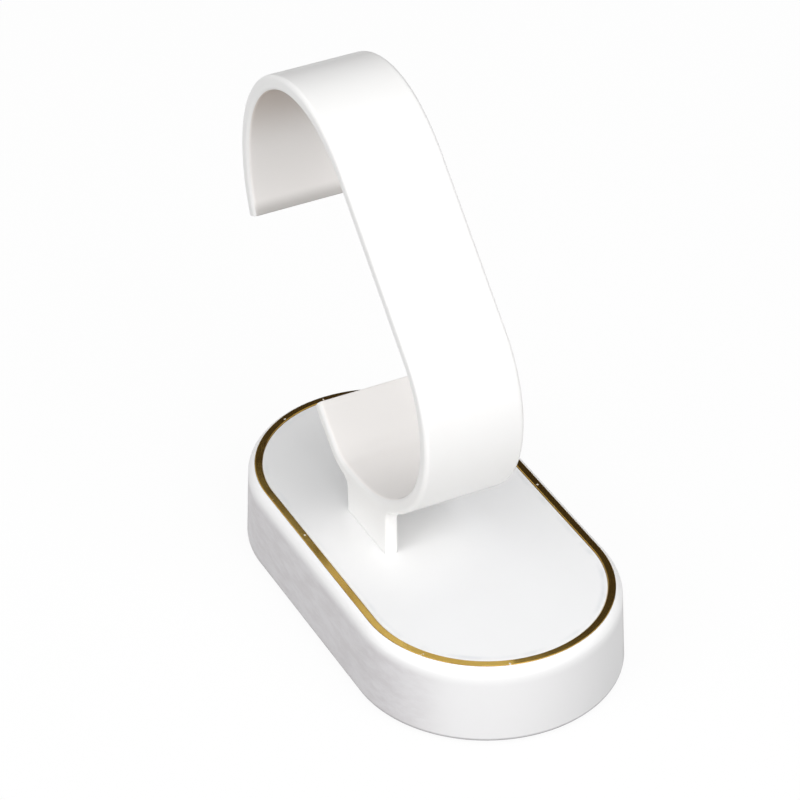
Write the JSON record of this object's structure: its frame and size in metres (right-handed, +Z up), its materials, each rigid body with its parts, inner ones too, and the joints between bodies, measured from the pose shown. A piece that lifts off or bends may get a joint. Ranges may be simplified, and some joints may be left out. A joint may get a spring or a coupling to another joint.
{
  "type": "watch stand",
  "caption": "Tabletop watch display stand: a capsule-shaped base with an inlaid top panel in a gilt trim ring, carrying an open C-shaped clip that a watch strap closes round.",
  "frame": {"origin": "middle of the underside of the base, on the table", "axes": "+Z up, the base's long axis along Y, and the clip's mouth open towards +Y"},
  "size_m": [0.0604, 0.1188, 0.1146],
  "materials": {
    "base_body": "white moulded plastic, satin gloss",
    "trim_ring": "polished gilt",
    "top_panel": "off-white, softly matt",
    "watch_clip": "white moulded plastic, satin gloss",
    "nonslip_sheet": "dark foam rubber"
  },
  "bodies": {
    "root": {"base_body": "base_body", "trim_ring": "trim_ring", "top_panel": "top_panel", "watch_clip": "watch_clip", "nonslip_sheet": "nonslip_sheet"}
  },
  "joints": []
}
